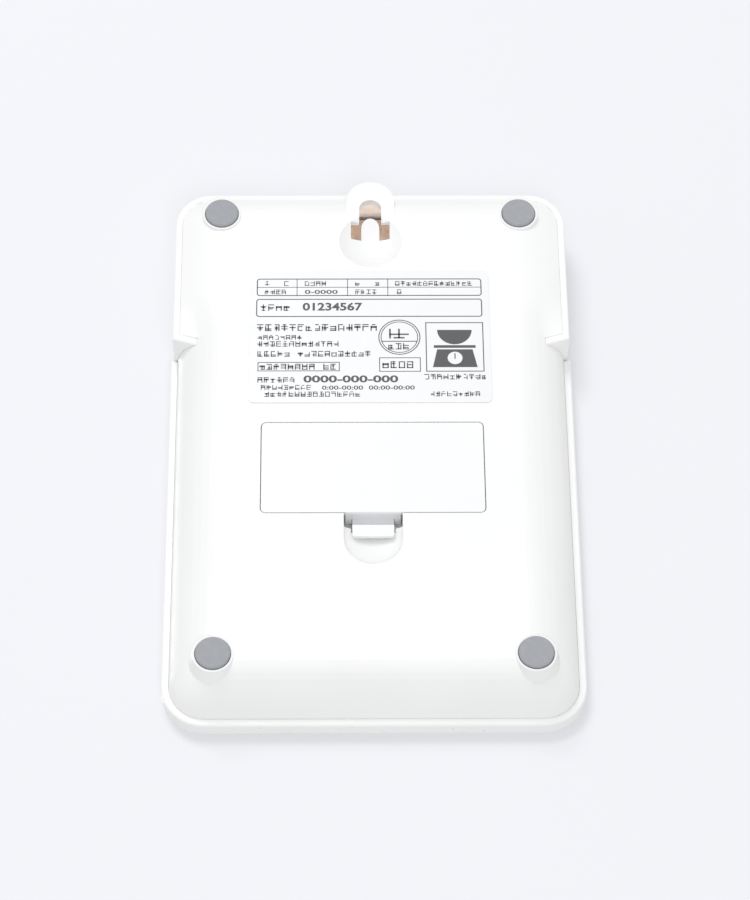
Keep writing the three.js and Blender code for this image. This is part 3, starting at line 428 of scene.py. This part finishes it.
# ------------------------------------------------------------------ label
# Label places are in millimetres from its corner by the hanging hole on the left of the underside's view.
page = Print(LABEL_LO.z - PRINT_GAP, down=True)


def on_label(u, v):
    return LABEL_LO.x + u * MM, LABEL_LO.y + v * MM


def label_box(u0, u1, v0, v1):
    (x0, y0), (x1, y1) = on_label(u0, v0), on_label(u1, v1)
    page.box(x0, x1, y0, y1)


def label_frame(u0, u1, v0, v1, width=0.22):
    (x0, y0), (x1, y1) = on_label(u0, v0), on_label(u1, v1)
    page.frame(x0, x1, y0, y1, width * MM)


def label_line(u, v, length, height, fill=0.92):
    x, y = on_label(u, v)
    line_of_marks(page, x, y, length * MM, height * MM, fill)


def rounded_frame(u0, u1, v0, v1, width, corner):
    """A frame with rounded corners, in label millimetres."""
    label_box(u0 + corner, u1 - corner, v0, v0 + width)
    label_box(u0 + corner, u1 - corner, v1 - width, v1)
    label_box(u0, u0 + width, v0 + corner, v1 - corner)
    label_box(u1 - width, u1, v0 + corner, v1 - corner)
    corners = ((u1, v1, -1, -1, 0), (u0, v1, 1, -1, 90), (u0, v0, 1, 1, 180), (u1, v0, -1, 1, 270))
    for u, v, in_u, in_v, start in corners:
        x, y = on_label(u + in_u * corner, v + in_v * corner)
        page.ring(x, y, corner * MM, width * MM, start, start + 90, 6)


def label_number(text, u, v, length, height, weight=0.02):
    """A number in plain digits, stretched to a length, in label millimetres."""
    curve = bpy.data.curves.new("number", "FONT")
    curve.body = text
    curve.resolution_u = 3
    curve.offset = weight
    carrier = bpy.data.objects.new("number", curve)
    flat = bpy.data.meshes.new_from_object(carrier)
    xs = [vertex.co.x for vertex in flat.vertices]
    ys = [vertex.co.y for vertex in flat.vertices]
    wide, tall = max(xs) - min(xs), max(ys) - min(ys)
    spots = [
        on_label(u + (x - min(xs)) / wide * length, v + (max(ys) - y) / tall * height)
        for x, y in zip(xs, ys)
    ]
    for polygon in flat.polygons:
        page.face([spots[i] for i in polygon.vertices])
    bpy.data.objects.remove(carrier)
    bpy.data.curves.remove(curve)
    bpy.data.meshes.remove(flat)


TABLE = (2.0, 66.2, 2.7, 8.7)
TABLE_MID = 5.7
TABLE_COLUMNS = (13.5, 27.9, 39.4)
THIN, BOLD = 0.2, 0.3
rounded_frame(*TABLE, BOLD, 0.9)
label_box(TABLE[0], TABLE[1], TABLE_MID - THIN / 2, TABLE_MID + THIN / 2)
for u in TABLE_COLUMNS:
    label_box(u - THIN / 2, u + THIN / 2, TABLE[2], TABLE[3])
for u, length in ((4.3, 1.6), (9.8, 1.6), (15.7, 7.4), (30.1, 1.6), (35.7, 1.6), (41.5, 22.4)):
    label_line(u, 3.6, length, 1.6, 1.0)
for u, length in ((4.3, 7.0), (30.1, 7.1), (42.0, 2.4)):
    label_line(u, 6.5, length, 1.6, 1.0)
label_number("0-0000", 15.7, 6.6, 9.4, 1.4)
rounded_frame(1.9, 66.2, 9.7, 15.9, BOLD, 0.9)
LINES = (
    (3.1, 11.6, 9.7, 2.2),
    (2.2, 18.4, 34.2, 2.3),
    (2.4, 22.1, 13.1, 1.6),
    (2.3, 24.2, 23.8, 1.8),
    (2.4, 27.5, 32.6, 1.9),
    (3.0, 31.8, 22.2, 2.0),
    (2.5, 36.3, 11.7, 1.8),
    (3.5, 38.9, 15.6, 1.6),
    (4.5, 41.1, 28.4, 1.7),
    (37.6, 31.0, 9.9, 2.3),
    (49.3, 35.3, 17.7, 1.8),
    (50.8, 41.1, 15.5, 1.6),
)
for u, v, length, height in LINES:
    label_line(u, v, length, height, 0.97)
label_number("01234567", 15.1, 11.0, 17.0, 2.8, 0.03)
label_number("0000-000-000", 15.4, 35.7, 26.6, 2.4, 0.03)
label_number("0:00-00:00  00:00-00:00", 20.6, 39.1, 26.0, 1.4)
label_frame(2.5, 25.6, 31.2, 34.3, 0.24)
label_frame(36.7, 48.4, 29.7, 34.5, 0.24)
# A round sign: two rings, a chord and invented marks above and below it.
ring_x, ring_y = on_label(42.5, 22.85)
page.ring(ring_x, ring_y, 5.95 * MM, 0.28 * MM)
page.ring(ring_x, ring_y, 5.3 * MM, 0.24 * MM)
label_box(37.4, 47.6, 24.1, 24.4)
big_x, big_y = on_label(39.6, 18.9)
mark(page, big_x, big_y, 5.6 * MM, 4.4 * MM, 0.5 * MM)
label_line(39.3, 24.9, 6.6, 2.1, 1.0)
# A plain pictogram: a bowl on a scale with a round dial.
label_frame(49.9, 66.3, 17.8, 34.5, 0.28)
PICTURE_U = 58.1
bowl_x, bowl_y = on_label(PICTURE_U, 20.4)
page.ring(bowl_x, bowl_y, 4.9 * MM, 4.85 * MM, 0, 180, 28)
label_box(PICTURE_U - 5.9, PICTURE_U + 5.9, 25.6, 26.5)
DIAL_V, DIAL_R = 29.9, 2.1
for side in (-1, 1):
    outline = [(0, 27.0), (5.0, 27.0), (6.3, 33.0), (0, 33.0)]
    for step in range(13):
        a = math.radians(90 - 15 * step)
        outline.append((DIAL_R * math.cos(a), DIAL_V + DIAL_R * math.sin(a)))
    page.face([on_label(PICTURE_U + side * u, v) for u, v in outline])
label_box(PICTURE_U - 0.16, PICTURE_U + 0.16, DIAL_V - 1.6, DIAL_V + 0.3)
label_print = page.done("label_print", PRINT, "base")


# ------------------------------------------------------------------ display
def seven_segments(page, x, y, width, height, lit, stroke):
    """One digit of a segment display. lit names its bars: a top, then clockwise, and g in the middle."""
    gap = stroke * 0.16
    mid = y + height / 2
    bars = {
        "a": (x + gap, x + width - gap, y + height - stroke, y + height),
        "d": (x + gap, x + width - gap, y, y + stroke),
        "g": (x + gap, x + width - gap, mid - stroke / 2, mid + stroke / 2),
        "b": (x + width - stroke, x + width, mid + gap, y + height - gap),
        "c": (x + width - stroke, x + width, y + gap, mid - gap),
        "f": (x, x + stroke, mid + gap, y + height - gap),
        "e": (x, x + stroke, y + gap, mid - gap),
    }
    for bar in lit:
        page.box(*bars[bar])


panel_mid = (PANEL_LO + PANEL_HI) / 2
digits = Print(PANEL_HI.z + DIGIT_GAP, down=False)
seven_segments(digits, panel_mid.x + 8 * MM, panel_mid.y - 6 * MM, 7 * MM, 12 * MM, "abcdef", 1.3 * MM)
digits.ring(panel_mid.x + 20.2 * MM, panel_mid.y - 3.2 * MM, 1.7 * MM, 0.5 * MM)
digits.box(
    panel_mid.x + 21.4 * MM, panel_mid.x + 21.9 * MM, panel_mid.y - 6.2 * MM, panel_mid.y - 1.5 * MM
)
digits.box(
    panel_mid.x + 18.7 * MM, panel_mid.x + 21.9 * MM, panel_mid.y - 6.6 * MM, panel_mid.y - 6.1 * MM
)
digits.done("display_digits", PRINT, "base")

mask = Print(LENS_LO.z - MASK_GAP, down=False)
BORDER = 2.2 * MM  # how far the mask covers the panel's edge
INSET = 0.4 * MM  # how far the mask stays inside the lens's edge
view_x0, view_x1 = PANEL_LO.x + BORDER, PANEL_HI.x - BORDER
view_y0, view_y1 = PANEL_LO.y + BORDER, PANEL_HI.y - BORDER
mask_x0, mask_x1 = LENS_LO.x + INSET, LENS_HI.x - INSET
mask_y0, mask_y1 = LENS_LO.y + INSET, LENS_HI.y - INSET
mask.box(mask_x0, mask_x1, view_y1, mask_y1)
mask.box(mask_x0, mask_x1, mask_y0, view_y0)
mask.box(mask_x0, view_x0, view_y0, view_y1)
mask.box(view_x1, mask_x1, view_y0, view_y1)
mask.done("lens_mask", MASK, "base")

for key, body in (("power_button", "power_key"), ("tare_button", "tare_key")):
    lo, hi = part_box(key)
    x, y = (lo.x + hi.x) / 2, (lo.y + hi.y) / 2
    sign = Print(hi.z + PRINT_GAP, down=False)
    if key == "power_button":
        sign.ring(x, y, 1.7 * MM, 0.32 * MM, 120, 420, 30)
        sign.box(x - 0.16 * MM, x + 0.16 * MM, y + 0.3 * MM, y + 2.1 * MM)
    else:
        sign.ring(x, y, 1.3 * MM, 0.32 * MM)
        for side in (-1, 1):
            for lean in (-1, 1):
                sign.face(
                    [
                        (x + side * 2.1 * MM, y),
                        (x + side * 2.45 * MM, y),
                        (x + side * 3.45 * MM, y + lean * 1.2 * MM),
                        (x + side * 3.1 * MM, y + lean * 1.2 * MM),
                    ]
                )
    sign.done(f"{key}_sign", PRINT, body)


# ------------------------------------------------------------------ stage
def stage_mesh(name, corners, faces):
    mesh = bpy.data.meshes.new(name)
    mesh.from_pydata(corners, [], faces)
    obj = bpy.data.objects.new(name, mesh)
    bpy.context.scene.collection.objects.link(obj)
    return obj


def pale_floor(name, rgb, from_above):
    """Matt pale surface that shows only to the side which faces the part."""
    shader = Shader(name)
    shader.put("Base Color", (*rgb, 1))
    shader.put("Roughness", 0.8)
    shader.put("Specular IOR Level", 0.1)
    clear = shader.tree.nodes.new("ShaderNodeBsdfTransparent")
    side = shader.tree.nodes.new("ShaderNodeNewGeometry").outputs["Backfacing"]
    choose = shader.tree.nodes.new("ShaderNodeMixShader")
    shader.join(side, choose.inputs[0])
    first, second = (shader.surface.outputs[0], clear.outputs[0])
    if not from_above:
        first, second = second, first
    shader.join(first, choose.inputs[1])
    shader.join(second, choose.inputs[2])
    shader.join(choose.outputs[0], shader.tree.nodes["Material Output"].inputs["Surface"])
    return shader.material


STAGE_SIZE = 3.0
HOLE_INSET = 1.6 * MM
HOLE_CORNER = 9 * MM
HOLE_STEPS = 6  # straight pieces in each round corner
TAB_REACH = 2 * MM  # how far the hanging tab stands out past the platform
STAGE_GAP = 0.02 * MM
TABLE_TONE = (0.82, 0.83, 0.862)


def table_round_part(z):
    """A table that the part lies on face down. It is open over the part's own face, to let light reach it."""
    x = CASE_HI.x - HOLE_INSET
    low, high = cad_box[0].y + TAB_REACH + HOLE_INSET, cad_box[1].y - HOLE_INSET
    inner = []
    for cx, cy, start in ((x, high, 0), (-x, high, 90), (-x, low, 180), (x, low, 270)):
        centre = (cx - math.copysign(HOLE_CORNER, cx), cy - math.copysign(HOLE_CORNER, cy))
        for step in range(HOLE_STEPS + 1):
            a = math.radians(start + 90 / HOLE_STEPS * step)
            inner.append((centre[0] + HOLE_CORNER * math.cos(a), centre[1] + HOLE_CORNER * math.sin(a), z))
    count = len(inner)
    directions = [math.atan2(y, x) for x, y, _ in inner]
    outer = [(STAGE_SIZE * math.cos(a), STAGE_SIZE * math.sin(a), z) for a in directions]
    faces = [(i, (i + 1) % count, count + (i + 1) % count, count + i) for i in range(count)]
    table = stage_mesh("table_above", inner + outer, [tuple(reversed(f)) for f in faces])
    table.data.materials.append(pale_floor("table_matt", TABLE_TONE, False))
    table.visible_diffuse = False
    return table


def floor_under_feet(z):
    far = STAGE_SIZE
    corners = [(-far, -far, z), (far, -far, z), (far, far, z), (-far, far, z)]
    floor = stage_mesh("floor_below", corners, [(0, 1, 2, 3)])
    floor.data.materials.append(pale_floor("floor_matt", TABLE_TONE, True))
    floor.visible_diffuse = False
    return floor


for ground in (table_round_part(TOP_Z + STAGE_GAP), floor_under_feet(-STAGE_GAP)):
    ground.visible_glossy = False
    ground.visible_transmission = False
    ground.visible_shadow = False


def area_light(name, place, size, power, tint=(1, 1, 1), aim=(0, 0, 0.01)):
    data = bpy.data.lights.new(name, "AREA")
    data.shape = "DISK"
    data.size = size
    data.energy = power
    data.color = tint
    lamp = bpy.data.objects.new(name, data)
    lamp.location = place
    lamp.rotation_mode = "QUATERNION"
    lamp.rotation_quaternion = (Vector(place) - Vector(aim)).to_track_quat("Z", "Y")
    bpy.context.scene.collection.objects.link(lamp)
    return lamp


area_light("key_below", (-0.40, -0.85, -1.55), 0.8, 8.5)
area_light("fill_below", (0.1, 1.09, -1.31), 0.9, 4.7)
area_light("key_above", (-0.9, -1.0, 1.5), 0.9, 10)
# Light that comes through the thin white walls into the case and shows in the hanging hole.
for side in (-1, 1):
    through = area_light(
        f"through_wall_{side}",
        (side * 22 * MM, -62 * MM, 6.5 * MM),
        10 * MM,
        0.0026,
        (1.0, 0.85, 0.75),
        (0, -74 * MM, 12.5 * MM),
    )
    through.visible_camera = False

world = bpy.data.worlds.new("studio")
world.use_nodes = True
world.node_tree.nodes["Background"].inputs["Color"].default_value = (0.99, 0.995, 1.0, 1)
world.node_tree.nodes["Background"].inputs["Strength"].default_value = 0.78
bpy.context.scene.world = world
bpy.context.scene.view_settings.view_transform = "Standard"
bpy.context.scene.view_settings.look = "None"

# ------------------------------------------------------------------ camera
# The camera looks up at the underside from the platform end, as someone does who has turned the scale over.
ELEVATION = math.radians(58.40)
SWING = math.radians(1.524)
ROLL = math.radians(1.184)
DISTANCE = 846.95 * MM
AIM_RIGHT = 0.88 * MM
AIM_NEAR = 8.796 * MM
FEET_TO_MIDDLE = 0.95 * MM
SENSOR = 36.0
FOCAL = 122.73


def to_row(v):
    """From axes of the turned-over scale (right, away, up) to the row frame's axes."""
    cosine, sine = math.cos(SWING), math.sin(SWING)
    x, y = cosine * v.x + sine * v.y, -sine * v.x + cosine * v.y
    return Vector((x, -y, -v.z))


forward = Vector((0, math.cos(ELEVATION), -math.sin(ELEVATION)))
up = Vector((0, math.sin(ELEVATION), math.cos(ELEVATION)))
right = Vector((1, 0, 0))
right, up = (
    right * math.cos(ROLL) + up * math.sin(ROLL),
    up * math.cos(ROLL) - right * math.sin(ROLL),
)
eye = Vector((AIM_RIGHT, -AIM_NEAR, 0)) - forward * DISTANCE
optics = bpy.data.cameras.new("camera")
optics.sensor_fit = "AUTO"
optics.sensor_width = SENSOR
optics.lens = FOCAL
optics.clip_start, optics.clip_end = 0.05, 20
camera = bpy.data.objects.new("camera", optics)
bpy.context.scene.collection.objects.link(camera)
axes = [to_row(right), to_row(up), to_row(-forward)]
turn = Matrix([[axis[row] for axis in axes] for row in range(3)])
camera.matrix_world = Matrix.Translation(to_row(eye) - Vector((0, FEET_TO_MIDDLE, 0))) @ turn.to_4x4()
bpy.context.scene.camera = camera
